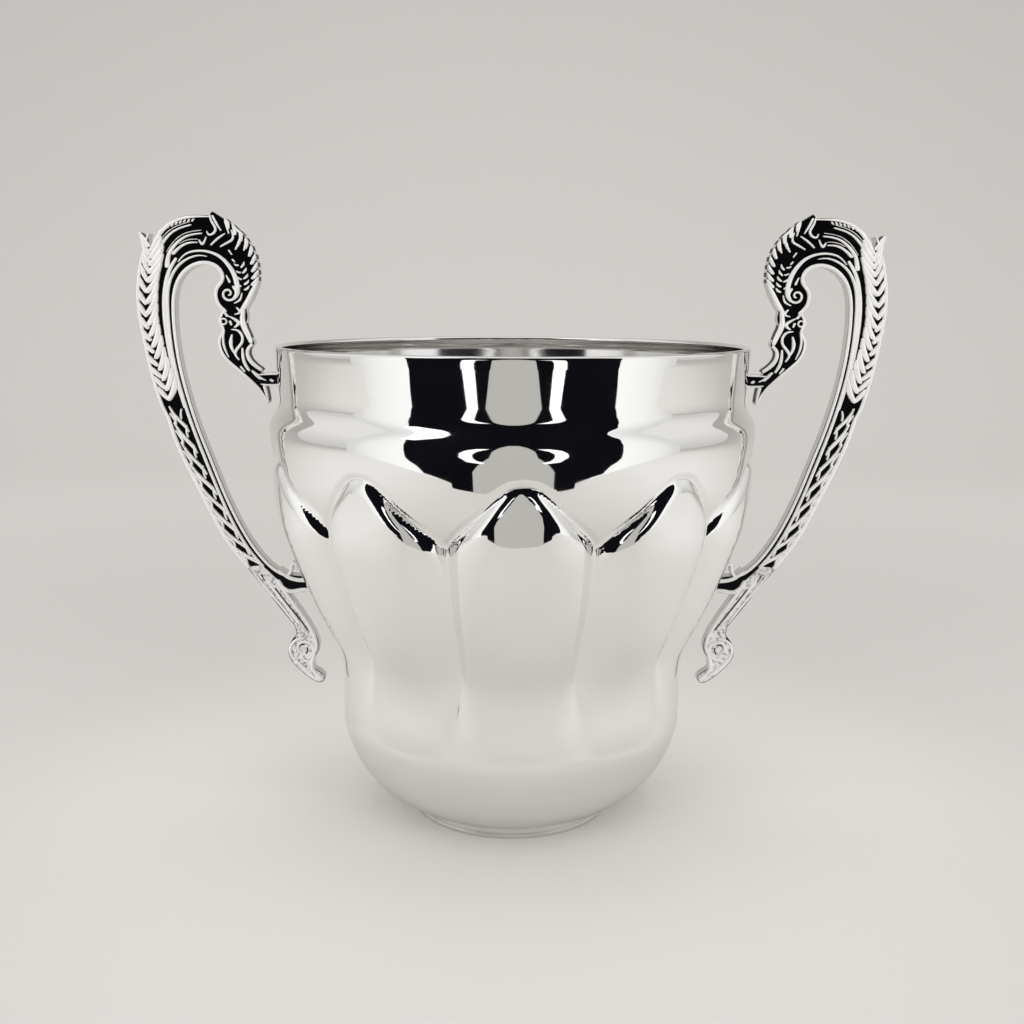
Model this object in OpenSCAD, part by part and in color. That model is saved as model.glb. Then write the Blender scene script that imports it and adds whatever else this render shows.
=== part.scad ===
// Two-handled cup trophy: a lobed bowl of plated sheet on a low foot ring, with two cast scroll handles
// screwed on from inside. Millimetres, +Z up, the origin on the floor under the middle, front towards -Y,
// handles on the X axis.

/* [Bowl] */
// Outer diameter over the rolled lip
rim_d = 180; // [176:0.5:186]
// Height of the lip above the floor
rim_h = 184.3; // [182:0.1:190]
// Thickness of the sheet
wall = 1.2; // [0.8:0.1:1.6]
// Diameter of the bead rolled inwards at the lip
bead_d = 2.4; // [2:0.1:3]
// Turn of the lobes from the plane of the handles, in degrees
lobe_turn = 1.8; // [-3:0.1:3]

/* [Foot] */
// Outer diameter of the foot ring where it stands
foot_d = 78.8; // [76:0.1:82]
// Height of the foot ring
foot_h = 3.6; // [3:0.1:4]

/* [Handles] */
// Thickness of a handle's ground plate, front to back
plate_t = 5; // [4:0.1:6]
// Thickness over the raised ribs
rib_t = 7.4; // [6.4:0.1:8.4]
// Thickness over the leaves and the lugs
leaf_t = 8.8; // [8:0.1:10]

/* [Fixings] */
// Shank diameter of the four screws
screw_d = 3; // [2.5:0.1:3.2]
// Outer diameter of the washers
washer_d = 7; // [6.4:0.1:7.2]

/* [Hidden] */
$fn = 96;
eps = 0.01;
lobes = 10;

// ---- curves ----
// a Catmull-Rom curve through the points p, with n steps a span
function spline(a, b, c, d, t) = 0.5 * (2 * b + (c - a) * t + (2 * a - 5 * b + 4 * c - d) * t * t
                                        + (3 * b - a - 3 * c + d) * t * t * t);
function curve(p, n = 3) = [for (i = [0 : len(p) - 2]) for (k = [0 : n - 1])
    spline(p[max(i - 1, 0)], p[i], p[i + 1], p[min(i + 2, len(p) - 1)], k / n), p[len(p) - 1]];
function arc(c, r, a0, a1, n = 8) = [for (i = [0 : n]) let (a = a0 + (a1 - a0) * i / n) c + r * [cos(a), sin(a)]];
function reverse(p) = [for (i = [len(p) - 1 : -1 : 0]) p[i]];
// the unit normal to the right of the path p at its point i
function side(p, i) = let (d = p[min(i + 1, len(p) - 1)] - p[max(i - 1, 0)]) [d[1], -d[0]] / norm(d);
// the path p moved by t to its left
function inset(p, t) = [for (i = [0 : len(p) - 1]) p[i] - t * side(p, i)];
// the point at u steps along the path p
function along(p, u) = let (i = min(floor(u), len(p) - 2)) p[i] + (p[i + 1] - p[i]) * (u - i);
// a strip along the path p whose width runs through the list w from end to end
function strip(p, w) = let (n = len(p) - 1, m = len(w) - 1,
    half = [for (i = [0 : n]) lookup(i / n * m, [for (k = [0 : m]) [k, w[k]]]) / 2])
    concat([for (i = [0 : n]) p[i] + half[i] * side(p, i)], [for (i = [n : -1 : 0]) p[i] - half[i] * side(p, i)]);
// an outline drawn as [x, z] in the plane of the handles, made t thick about that plane
module upright(t) { rotate([90, 0, 0]) linear_extrude(height = t, center = true) children(); }

// ---- bowl ----
collar_top = rim_h - bead_d / 2;
collar_r = rim_d / 2;
neck = [collar_r - 1.5, 164.5];
// the meridian that is spun before the lobes are pressed, as [radius, height]: the round bulb, the waist that the lobes
// stand on, and the shoulder over their heads
bulb = [[foot_d / 2 - 1.2, foot_h], [43.8, 6], [49.6, 9.7], [54.6, 13.8], [58.4, 18], [61.3, 22.2], [63.5, 26.6], [65.2, 31],
        [66.3, 35], [66.8, 39]];
waist = [[66.5, 42], [65.4, 45.6], [63.3, 49.1], [61.6, 51], [61, 60], [63, 75], [67, 95], [72, 112]];
shoulder = [[76.4, 117.4], [80.8, 121], [85.6, 127], [89.2, 133], [91.3, 138.5], [92.4, 143.8], [92.75, 149.2], [92.2, 154],
            [90.8, 157.7], [89.3, 161], neck];
meridian = curve(concat(bulb, waist, shoulder), 2);
// a lobe's outer line along its middle and its line along the folds at its sides, as [height, radius]
crown = curve([[40, 66.7], [46, 67.1], [52, 67], [58, 67], [66, 68.3], [74, 71.6], [83, 76.1], [92, 80.1], [101, 83.8],
    [110, 87.1], [118, 89.5], [124, 90.8], [130, 91.7], [137, 92.2], [146, 92.5]], 2);
fold = curve([[38, 66.6], [44, 65.9], [50, 65.15], [56, 64.4], [62, 63.95], [68, 64.1], [74, 65.5], [83, 68.7], [92, 72.2],
    [101, 75.2], [110, 77.6], [118, 79.2], [124, 80.2], [132, 81.4], [142, 83], [146, 83.6]], 2);
// the arched head of a lobe, as [degrees from its middle, height], and the groove chased round it
arch = curve([[0, 143.6], [2, 143.2], [4.1, 141.2], [6.6, 137.6], [9.5, 133], [14, 127], [18, 121]], 2);
groove = 1.2;
groove_above = 2.2;
groove_below = 7.5;
half_pitch = 180 / lobes;
// how fast a lobe turns in to its folds
flatness = 3.2;
// the radius of the meridian at height z, moved in by t
function core_r(z, t) = lookup(z, [for (p = inset(meridian, t)) [p[1], p[0]]]);
// the radius of a lobe at the angle a from its middle and the height z
function lobe_r(a, z) = let (c = lookup(z, crown)) c - (c - lookup(z, fold)) * pow(a / half_pitch, flatness);
// the part of a height that counts square to the arch's line at the angle a
function square_to_arch(a) = 1 / norm([1, (lookup(a + 1, arch) - lookup(a - 1, arch)) / (collar_r * PI / 90)]);
// the outer radius of the wall: the meridian above the arch, the lobe below it
function outer_r(a, z) = let (top = lookup(a, arch), off = (top - z) * square_to_arch(a))
    off < 0 ? core_r(z, 0) - groove * pow(max(1 + off / groove_above, 0), 2)
            : max(lobe_r(a, z) + (core_r(top, 0) - lobe_r(a, top) - groove) * pow(max(1 - off / groove_below, 0), 2),
                  z < 60 ? core_r(z, 0) : 0);
// the inner radius: the wall is one thickness square to its surface, and plain where it runs into the collar and the bulb
function inner_r(a, z) = z > 148 || z < 41 ? core_r(z, wall) : outer_r(a, z) - wall * min(1.6,
    norm([1, outer_r(a, z + 0.5) - outer_r(a, z - 0.5), (outer_r(min(a + 1, 2 * half_pitch - a - 1), z) - outer_r(abs(a - 1), z)) / 2.8]));
// heights of the lobed wall's points at the angle a: down the shoulder, over the groove, down the lobe, down to the bulb
lobed_top = neck[1] + 0.4;
lobed_low = 38.6;
function levels(a) = let (head = lookup(a, arch), k = square_to_arch(a), over = head + groove_above / k, under = head - groove_below / k)
    concat([lobed_top, 161, 157.5, 153.5, 149.5], [for (i = [1 : 3]) 149.5 + (over - 149.5) * i / 3],
           [head, head - 0.4 * groove_below / k, under], [for (i = [1 : 7]) under + (62 - under) * i / 7], [55, 50, 46, 43, lobed_low]);
// one side of the lobed wall, s = 0 outside and 1 inside, as rings of points; the columns stand closer near the folds
column_at = [0, 5, 10, 14.5, half_pitch];
per_lobe = 8;
around = lobes * per_lobe;
column_levels = [for (a = column_at) levels(a)];
column_r = [for (s = [0, 1]) [for (k = [0 : 4]) [for (z = column_levels[k]) s == 0 ? outer_r(column_at[k], z) : inner_r(column_at[k], z)]]];
function skin(s) = [for (j = [0 : len(column_levels[0]) - 1]) for (i = [0 : around - 1])
    let (lobe = round(i / per_lobe - 0.01), k = i - lobe * per_lobe, m = abs(k), r = column_r[s][m][j],
         b = -90 + lobe_turn + lobe * 2 * half_pitch + sign(k) * column_at[m]) [r * cos(b), r * sin(b), column_levels[m][j]]];
module lobed_wall() {
    rows = len(column_levels[0]);
    n = rows * around;
    polyhedron(concat(skin(0), skin(1)), concat(
        [for (j = [0 : rows - 2]) for (i = [0 : around - 1]) let (a = j * around + i, b = j * around + (i + 1) % around)
            each [[a, b, b + around], [a, b + around, a + around]]],
        [for (j = [0 : rows - 2]) for (i = [0 : around - 1]) let (a = n + j * around + i, b = n + j * around + (i + 1) % around)
            each [[b, a, b + around], [a, a + around, b + around]]],
        [for (i = [0 : around - 1]) let (a = i, b = (i + 1) % around) each [[b, a, a + n], [b, a + n, b + n]]],
        [for (i = [0 : around - 1]) let (a = n - around + i, b = n - around + (i + 1) % around) each [[a, b, b + n], [a, b + n, a + n]]]));
}
// the round bottom and the collar, each a little thicker where it takes the lobed wall's edge
lap = 0.15;
module round_bottom() {
    line = [for (p = meridian) if (p[1] < lobed_low - 1) p];
    low = inset(line, wall);
    rotate_extrude() polygon(concat([[0, foot_h]], line,
        [for (z = [lobed_low - 0.8, lobed_low + 0.6]) [core_r(z, 0) + lap, z]],
        [for (z = [lobed_low + 0.6, lobed_low - 0.8]) [core_r(z, wall) - lap, z]], reverse(low), [[0, foot_h + wall]]));
}
module collar() {
    rotate_extrude() polygon(concat([neck + [lap, -0.3], neck + [lap, 0.8], neck + [0, 1.2]],
        arc([collar_r - bead_d / 2, collar_top], bead_d / 2, 0, 240, 12),
        [[collar_r - wall - 0.2, collar_top - 0.8 * bead_d], neck + [-wall, 1.2], neck + [-wall - lap, 0.8], neck - [wall + lap, 0.3]]));
}

// ---- fixings ----
// where a screw's axis meets the outside of the wall: [x, z, degrees that it points down going outwards]
collar_z0 = neck[1] + 1.2;
upper_z = 170.8;
collar_lean = atan((collar_r - neck[0]) / (collar_top - collar_z0));
upper_fix = [neck[0] + (upper_z - collar_z0) * tan(collar_lean), upper_z, collar_lean];
lower_fix = [77.2, 90.1, 6];
module at_fix(f) { translate([f[0], 0, f[1]]) rotate([0, 90 + f[2], 0]) children(); }
module both_sides() { children(); rotate([0, 0, 180]) children(); }
clear_d = screw_d + 0.4;
seat_r = 5; // of the round seats pressed out of the wall for the lower lugs
washer_t = 0.6;
head_d = 5.6;
head_h = 2.1;
bite = 6; // of a screw in its lug
// a flat washer inside the curved collar stands off it by this at its middle
collar_sag = collar_r - sqrt(pow(collar_r, 2) - pow(washer_d / 2, 2)) + 0.02;

// the space inside the fold between two lobes at a lower fixing
module inside_fold() {
    r = inner_r(half_pitch, lower_fix[1]);
    lean = atan(inner_r(half_pitch, lower_fix[1] + 0.5) - inner_r(half_pitch, lower_fix[1] - 0.5));
    rotate([0, 0, lobe_turn]) translate([r, 0, lower_fix[1]]) rotate([0, lean, 0]) linear_extrude(height = 24, center = true)
        polygon([[0, 0], [6.6, 8], [-12, 8], [-12, -8], [6.6, -8]]);
}
module bowl() color("silver") {
    difference() {
        union() {
            lobed_wall();
            round_bottom();
            collar();
            both_sides() difference() {
                at_fix(lower_fix) translate([0, 0, -7]) cylinder(r = seat_r, h = 7);
                inside_fold();
            }
        }
        both_sides() {
            at_fix(lower_fix) translate([0, 0, -12]) cylinder(r = seat_r - wall, h = 12 - wall);
            for (f = [upper_fix, lower_fix]) at_fix(f) translate([0, 0, -6]) cylinder(d = clear_d, h = 8);
        }
    }
}

module foot_ring() color("silver") {
    r = foot_d / 2;
    rotate_extrude() polygon([[r - 3, 0], [r - 0.3, 0], [r, 0.4], [r, 1.6], [r - 0.4, 2], [r - 0.7, 2.2], [r - 0.7, foot_h], [r - 3, foot_h]]);
}

// ---- handles ----
// the edge along the finger gap: from the neck round the arch and down the grip to the lower lug
inner_edge = [[109.6, 196.2], [111.9, 198.6], [113.1, 202], [112.4, 205.6], [110.5, 208.2], [110.8, 211.2], [113.2, 213.3],
    [117, 213.9], [121.2, 212.6], [125.1, 209], [127.4, 203.5], [128.1, 197], [127.7, 185.5], [126.2, 174.1], [123.6, 162.6],
    [120.2, 151], [116.2, 139.8], [111.5, 126.8], [107.2, 116.8], [102.9, 108.6], [99.1, 102.9], [95.2, 98.4], [91.6, 95.6], [88.4, 94.2]];
// the outer edge of the grip and the tail: from the tip of the outer leaves down to the volute
outer_edge = [[137.5, 225.3], [139.6, 219.5], [141.6, 211], [142.8, 202.4], [142.4, 195], [141.4, 188], [139.4, 176], [136.6, 164.5],
    [134.9, 159.4], [133.4, 156.2], [131, 147.8], [125.3, 134.1], [119, 120.6], [112.4, 107.6], [104.6, 97], [97, 87.4], [90.6, 79],
    [86.2, 73]];
// the top: up from the neck, round the barbs of the crest leaf and over to the outer leaves
crest_side = [[101.2, 197], [98.6, 202], [96.4, 207.4]];
crest_barbs = [[96.2, 208.2], [96.2, 212.4], [97, 216.8], [98.6, 220.8], [101.2, 224.6], [104.6, 228], [108.4, 230.7], [112.7, 233.6]];
crest_top = [[114, 231.9], [119.5, 232], [125, 231.2], [130.3, 228.3], [134.2, 223.8], [136.4, 220.8]];
// the tail: round the volute to the tip and back up the inside to the lower lug
tail_end = [[85.6, 69.6], [87.7, 67], [89.1, 63.3], [88.1, 58.7], [85.3, 55.4], [79.4, 50.5], [76.2, 49.7], [74.8, 51.2], [75.6, 53.2],
    [80.3, 57.3], [79.6, 59.4], [77.4, 62.2], [76.8, 65.6], [77.9, 69.4], [80.9, 74.8], [84.6, 80.6], [88.2, 86.6]];
// the S-shaped leaf between the neck and the upper lug: down its outer side to the spike, and back up its inner side
leaf_outer = [[109.8, 197.4], [111.4, 194.6], [111.9, 192.6], [110.7, 190.2], [112, 186.6], [112, 182.6], [110.3, 179], [106.4, 175.2],
    [101.4, 170.8], [97.4, 166.8], [94.4, 161.6]];
leaf_inner = [[96.4, 174], [99, 176.3], [100.8, 179], [101, 182], [98.7, 184.2], [100.4, 187.6], [101.9, 190.6], [100.9, 194], [101.2, 197]];

// each step of the path p swells to a barb and drops back by d
function barbed(p, d) = [for (i = [0 : len(p) - 2]) each [p[i], p[i] + (p[i + 1] - p[i]) * 0.75 - d * side(p, i)], p[len(p) - 1]];
// one side of a spray: n pointed leaves along the path p, half of w out and their tips towards its start
function leaves(p, n, w, s) = [for (j = [0 : n - 1]) let (m = len(p) - 1, u = m * j / n, v = m * (j + 0.8) / n)
    each [along(p, u) + s * w / 2 * side(p, floor(u)), along(p, v) + s * w / 4 * side(p, floor(v))]];
function spray(p, n, w) = concat(leaves(p, n, w, 1), [p[len(p) - 1]], reverse(leaves(p, n, w, -1)));
// a volute about c, winding in from radius r0 to r1 between the angles a0 and a1
function volute(c, r0, r1, a0, a1, n = 14) = [for (i = [0 : n]) let (a = a0 + (a1 - a0) * i / n) c + (r0 + (r1 - r0) * i / n) * [cos(a), sin(a)]];

// the openwork ground, which stays dark between the raised work
module handle_ground() {
    upright(plate_t) polygon(concat(curve(inner_edge, 2), reverse(curve(tail_end, 2)), reverse(curve(outer_edge, 2)),
        reverse(curve(crest_top, 2)), reverse(barbed(crest_barbs, 0.8)), reverse(crest_side)));
    upright(plate_t) polygon(concat(curve(leaf_outer, 2), [[95.2, 167.6]], curve(leaf_inner, 2), [[103, 199], [108, 199]]));
}
// the raised work: smooth ribs, leaf sprays and volutes
module rib(p, w, t = rib_t, n = 2) { upright(t) polygon(strip(curve(p, n), w)); }
module handle_ribs() {
    // three ribs run along the finger gap: a rim right round the arch to the neck, a second, and a soft broad one
    rib(inset(inner_edge, 0.75), [1.5, 1.5], rib_t + 0.4);
    rib([[115.3, 216.9], [118, 217.2], [122, 216.2], [126.2, 213.3], [129.2, 208.6], [130.6, 203], [130.9, 196], [130.4, 185],
        [128.7, 173], [126, 161.5], [122.6, 150.2], [118.6, 138.8], [113.9, 126], [109.4, 115.2], [105.2, 107.2], [101.4, 101.6],
        [98, 97.6]], [0.5, 1.2, 1.2, 1.2, 1]);
    rib([[127.7, 216.2], [130.3, 212], [132, 206.6], [132.9, 200], [132.7, 190], [131.4, 179], [129.2, 168.5], [127, 160]],
        [1.9, 1.9, 1.7, 1.4, 0.8], rib_t - 0.8);
    // the rib that sweeps over the arch and thickens towards the upper volute, and the volute
    rib([[126, 214.9], [123.3, 217.6], [118.8, 218.9], [114.2, 218.5], [110.4, 216.8], [107.4, 213.8], [105.1, 209.6], [104.3, 205.9],
        [104.6, 202.8], [105.5, 201.4]], [0.6, 0.9, 1.3, 1.9, 2, 1.2], rib_t + 0.2);
    rib(volute([107.7, 203.1], 3.2, 0.7, 130, 580), [1, 0.7], rib_t, 1);
    // thin ribs fan over the arch beneath the crest leaf, and a rim follows its top
    rib([[129.6, 216.2], [129.1, 218.4], [126.5, 221.8], [122.7, 224.2], [116.9, 225.3]], [1.9, 1.2, 0.7]);
    rib([[127.7, 218], [124.8, 220.5], [121.8, 221.8], [118.6, 222]], [1.3, 1, 0.6]);
    rib([[134.6, 215.3], [133.7, 218.6], [130.8, 223.2], [127, 226.6], [120.8, 228.4]], [2.2, 1.2, 0.7]);
    rib(inset([[114.4, 231.8], [119.5, 232], [125, 231.1], [130.3, 228.2], [134.2, 223.8], [136.4, 219.8]], -0.8), [0.7, 1.4, 1.6]);
    // the crest leaf: folded veins from its midrib out to the barbs, a drop in its hollow and the bar at its foot
    for (v = [[[113.6, 231.8], [112.8, 229.4], [111.7, 226.3], [114.2, 224.9]], [[112.2, 231.4], [111.2, 229], [109.6, 226.4]],
              [[117.8, 222.8], [116.9, 221.5], [115.2, 223.9]], [[108, 229.8], [107.3, 227.6], [106.7, 225.4]],
              [[108.2, 225.2], [110.8, 223.5], [113.4, 221.2]], [[105.6, 226.4], [105.3, 223.4], [107.4, 221.9], [109.9, 220.5]],
              [[104.4, 227.4], [102.9, 226], [101.4, 224.6]], [[102.2, 224.6], [103, 222], [104.3, 219.6]],
              [[100.2, 222.6], [100.6, 221], [101.2, 219.2]], [[98.4, 219], [99.6, 216.8], [101.6, 215.4]],
              [[97.4, 214.6], [98.8, 212.6], [100.8, 211.4]], [[97, 210.6], [98.4, 208.8], [100.4, 208]],
              [[108.2, 209.8], [107.2, 207.6]]])
        rib(v, [0.6, 1, 0.6]);
    rib([[97, 207.6], [98.8, 203.4], [101.6, 198.6], [103.2, 196.6]], [1, 2.3, 2.3, 1.3]);
    // a spray of pointed leaves on either side of a stalk down to where the grip narrows, and a vine below it
    upright(leaf_t) polygon(spray(reverse(curve([[131.4, 162.6], [132.3, 167.9], [134.3, 174.4], [136.2, 182], [137.5, 189], [138, 196],
        [137.9, 203], [137.1, 209.6], [136.4, 214.5], [136.7, 219], [137.6, 223.4]], 3)), 15, 8));
    upright(leaf_t - 0.6) polygon(spray(curve([[129.6, 160], [127.6, 152.6], [124.4, 143], [120.4, 133], [116, 123.4], [111.2, 113.4],
        [106, 104.6], [100.6, 97.4]], 3), 7, 4.2));
    // the tail: a rim, a broad bevelled band and a thin rib down it, and the lower volute with its tip
    rib([[92.2, 91.4], [88.6, 85.4], [84.9, 79.8], [81.4, 74.4], [78.9, 69.6], [77.9, 65.8], [78.5, 62.6], [80.8, 60]], [1.7, 1.5, 0.9]);
    rib([[95.4, 91], [91.6, 85.4], [87.4, 79.2], [83.4, 73]], [1.6, 2.2, 2, 1], rib_t - 0.8);
    rib([[100.4, 93.6], [96, 87.6], [90.6, 80.6], [86.6, 75]], [0.6, 0.9, 0.7]);
    rib(concat(volute([83.4, 63.6], 1, 4.9, -420, -150), [[79.9, 55.6], [76.2, 51.5]]), [0.8, 1.1, 1.6], rib_t, 1);
    // the S-shaped leaf: its outer rim and spike, the hooked rib inside it, a bar and a drop above the lug, its inner rim
    rib(inset(leaf_outer, -0.7), [0.9, 1.2, 1.2, 0.8]);
    for (v = [[[106.8, 189.7], [104.8, 189.4], [103.1, 187.3], [103.2, 185], [104.6, 183.1], [105.9, 180.6], [104.6, 178.4]],
              [[106.9, 187.6], [107.5, 185], [107.2, 182.8], [106.3, 180.9]], [[103.1, 182.5], [103, 179.3], [102.2, 176.4], [100.9, 174.4]],
              [[99.5, 173.9], [98.2, 172.6], [96.8, 171]], [[101.5, 196], [102.2, 192], [100.7, 188.6], [99.3, 184.9]],
              [[99.4, 184], [101.3, 182.2], [101.2, 179], [99.6, 176.6], [96.6, 174.4]],
              [[108.1, 194.8], [105.9, 193.7], [104.3, 192.1], [105.7, 190.6]], [[109.6, 189.5], [110.2, 186.6], [110, 183.1], [108.4, 179.3]]])
        rib(v, [0.7, 1.2, 0.8]);
}
module handle_lugs() {
    // upper lug with its end flange on the collar
    upright(leaf_t - 1.6) polygon([[86, 168.2], [95.4, 167.4], [97.4, 174.8], [86, 173.4]]);
    upright(leaf_t) polygon([[86, 167.8], [90.3, 167.8], [90.3, 173.9], [86, 173.9]]);
    // lower lug, a dark slot between two bars, and the small leaf hooked up over it
    upright(leaf_t - 1.6) polygon([[75, 87], [88.2, 86.8], [93, 95], [88.4, 94], [75, 93]]);
    upright(leaf_t) polygon(strip([[75, 92.2], [84, 92], [88.6, 93.4]], [1.8, 1.6]));
    upright(leaf_t) polygon(strip([[75, 87.8], [84, 87.8], [88.4, 87.4]], [1.8, 1.6]));
    upright(rib_t) polygon(concat(curve([[88.4, 93.6], [86.6, 95.8], [86.6, 98.6]], 2), curve([[84.8, 97.2], [83.9, 95.4], [84.2, 92.6]], 2)));
}
module right_side_handle() {
    difference() {
        union() { handle_ground(); handle_ribs(); handle_lugs(); }
        // the lugs end on the collar and on the pressed seat
        rotate_extrude() polygon([[0, 160], [neck[0], 160], [neck[0], collar_z0], [collar_r, collar_top], [0, collar_top]]);
        at_fix(lower_fix) translate([-10, -10, -20]) cube([20, 20, 20]);
        for (f = [upper_fix, lower_fix]) at_fix(f) translate([0, 0, -1]) cylinder(d = screw_d + 0.05, h = bite + 1.6);
    }
}
module right_handle() color("dimgray") right_side_handle();
module left_handle() color("dimgray") rotate([0, 0, 180]) right_side_handle();

// ---- screws and washers, from inside the bowl ----
// how far the washer's outer face stands inside the outside of the wall
upper_in = wall + collar_sag;
lower_in = wall;
module washer(f, in) {
    at_fix(f) translate([0, 0, -in - washer_t]) difference() {
        cylinder(d = washer_d, h = washer_t);
        translate([0, 0, -1]) cylinder(d = screw_d + 0.2, h = 3);
    }
}
module screw(f, in) {
    at_fix(f) translate([0, 0, -in - washer_t]) {
        translate([0, 0, -eps]) cylinder(d = screw_d, h = in + washer_t + bite + eps);
        rotate_extrude() polygon(concat([[0, 0]], [[head_d / 2, 0], [head_d / 2, -head_h * 0.55], [head_d / 2 - 0.6, -head_h * 0.85],
            [head_d / 2 - 1.3, -head_h], [0, -head_h]]));
    }
}
module right_upper_washer() color("gainsboro") washer(upper_fix, upper_in);
module right_upper_screw() color("gold") screw(upper_fix, upper_in);
module right_lower_washer() color("gainsboro") washer(lower_fix, lower_in);
module right_lower_screw() color("gold") screw(lower_fix, lower_in);
module left_upper_washer() color("gainsboro") rotate([0, 0, 180]) washer(upper_fix, upper_in);
module left_upper_screw() color("gold") rotate([0, 0, 180]) screw(upper_fix, upper_in);
module left_lower_washer() color("gainsboro") rotate([0, 0, 180]) washer(lower_fix, lower_in);
module left_lower_screw() color("gold") rotate([0, 0, 180]) screw(lower_fix, lower_in);

bowl();
foot_ring();
left_handle();
right_handle();
left_upper_screw();
left_upper_washer();
left_lower_screw();
left_lower_washer();
right_upper_screw();
right_upper_washer();
right_lower_screw();
right_lower_washer();
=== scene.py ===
"""Two-handled cup trophy: a lobed, silver-plated bowl on a low foot ring, with cast scroll handles screwed on from
inside. Metres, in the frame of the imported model: +X to the right-hand handle, +Y away from the viewer, +Z up."""

import math

import bpy
from mathutils import Matrix, Vector
from mathutils.geometry import tessellate_polygon


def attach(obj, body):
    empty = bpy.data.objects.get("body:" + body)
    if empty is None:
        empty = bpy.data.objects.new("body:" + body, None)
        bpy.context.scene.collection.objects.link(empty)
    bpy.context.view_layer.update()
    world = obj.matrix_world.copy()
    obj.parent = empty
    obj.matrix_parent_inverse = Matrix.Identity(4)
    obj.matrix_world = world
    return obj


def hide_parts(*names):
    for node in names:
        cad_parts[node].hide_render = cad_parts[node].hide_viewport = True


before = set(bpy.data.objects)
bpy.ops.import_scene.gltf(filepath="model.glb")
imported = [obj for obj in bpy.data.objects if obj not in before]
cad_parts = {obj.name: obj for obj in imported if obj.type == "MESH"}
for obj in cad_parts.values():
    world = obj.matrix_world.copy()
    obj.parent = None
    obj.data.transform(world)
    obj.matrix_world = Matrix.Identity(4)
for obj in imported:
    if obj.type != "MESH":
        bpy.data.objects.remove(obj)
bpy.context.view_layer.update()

# ---------------------------------------------------------------------------------------------------------------------
# The foot ring: a low ring turned from brass, silver-plated with the bowl and soldered under it. Its edges are eased,
# and only its outer step shows, as a thin line between the bowl and the table.
MM = 0.001
foot_outer = [(39.4, 1.5), (39.3, 1.75), (39.0, 1.85), (38.75, 1.95), (38.7, 2.2), (38.7, 3.6)]
foot_inner = [(36.4, 3.6), (36.4, 0.4), (36.6, 0.1), (36.9, 0.0), (38.9, 0.0), (39.25, 0.12), (39.4, 0.45)]
foot_sides = 240
sharp_from = math.radians(50)


def blank_mesh(name, points, faces, finishes, piece_slot, node, face_finish=None):
    """A named, smooth-shaded piece from points in millimetres; it stands for the CAD node."""
    mesh = bpy.data.meshes.new(name)
    mesh.from_pydata([(x * MM, y * MM, z * MM) for x, y, z in points], [], faces)
    mesh.polygons.foreach_set("use_smooth", [True] * len(mesh.polygons))
    for finish in finishes:
        mesh.materials.append(finish)
    if face_finish:
        mesh.polygons.foreach_set("material_index", face_finish)
    mesh.update()
    if node != "bowl":  # the pressed sheet has no sharp edge anywhere
        mesh.set_sharp_from_angle(angle=sharp_from)
    piece = bpy.data.objects.new(name, mesh)
    bpy.context.scene.collection.objects.link(piece)
    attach(piece, "root")
    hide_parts(node)


def turned(profile, around):
    """Points and faces of a closed profile [(radius, height)] turned about the Z axis."""
    points, faces, n = [], [], len(profile)
    for i in range(around):
        a = math.tau * i / around
        points += [(r * math.cos(a), r * math.sin(a), z) for r, z in profile]
    for i in range(around):
        j = (i + 1) % around
        for k in range(n):
            m = (k + 1) % n
            faces.append((i * n + k, j * n + k, j * n + m, i * n + m))
    return points, faces


def link(tree, start, end):
    """Joins one node's output to another's input."""
    tree.links.new(start, end)


def noise(tree, scale, detail, stretch=(1, 1, 1)):
    """A noise texture in real metres on the piece, stretched along its axes."""
    place = tree.nodes.new("ShaderNodeTexCoord")
    size = tree.nodes.new("ShaderNodeMapping")
    size.inputs["Scale"].default_value = stretch
    cloud = tree.nodes.new("ShaderNodeTexNoise")
    cloud.inputs["Scale"].default_value = scale
    cloud.inputs["Detail"].default_value = detail
    link(tree, place.outputs["Object"], size.inputs["Vector"])
    link(tree, size.outputs["Vector"], cloud.inputs["Vector"])
    return cloud.outputs["Fac"]


def ramp(tree, value, low, high, low_colour, high_colour, middle=None):
    """A colour that goes from one tone to another as the value rises from low to high, by way of a middle tone."""
    band = tree.nodes.new("ShaderNodeValToRGB")
    for end, at, colour in ((0, low, low_colour), (1, high, high_colour)):
        band.color_ramp.elements[end].position = at
        band.color_ramp.elements[end].color = (*colour, 1)
    if middle:
        band.color_ramp.elements.new(middle[0]).color = (*middle[1], 1)
        band.color_ramp.interpolation = "B_SPLINE"
    link(tree, value, band.inputs["Fac"])
    return band.outputs["Color"]


def between(tree, value, from_low, from_high, to_low, to_high):
    """A number mapped from one range to another."""
    span = tree.nodes.new("ShaderNodeMapRange")
    for socket, number in zip(("From Min", "From Max", "To Min", "To Max"), (from_low, from_high, to_low, to_high)):
        span.inputs[socket].default_value = number
    link(tree, value, span.inputs["Value"])
    return span.outputs["Result"]


def metal(name):
    """A bare metal finish: its node tree and its shader."""
    finish = bpy.data.materials.new(name)
    finish.use_nodes = True
    tree = finish.node_tree
    shader = tree.nodes["Principled BSDF"]
    shader.inputs["Metallic"].default_value = 1
    return finish, tree, shader


def bumped(tree, shader, height, distance):
    """Fine relief on a finish, as deep as the distance in metres."""
    bump = tree.nodes.new("ShaderNodeBump")
    bump.inputs["Distance"].default_value = distance
    bump.inputs["Strength"].default_value = 1
    link(tree, height, bump.inputs["Height"])
    link(tree, bump.outputs["Normal"], shader.inputs["Normal"])


buffing_wave = 0.00005


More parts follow.
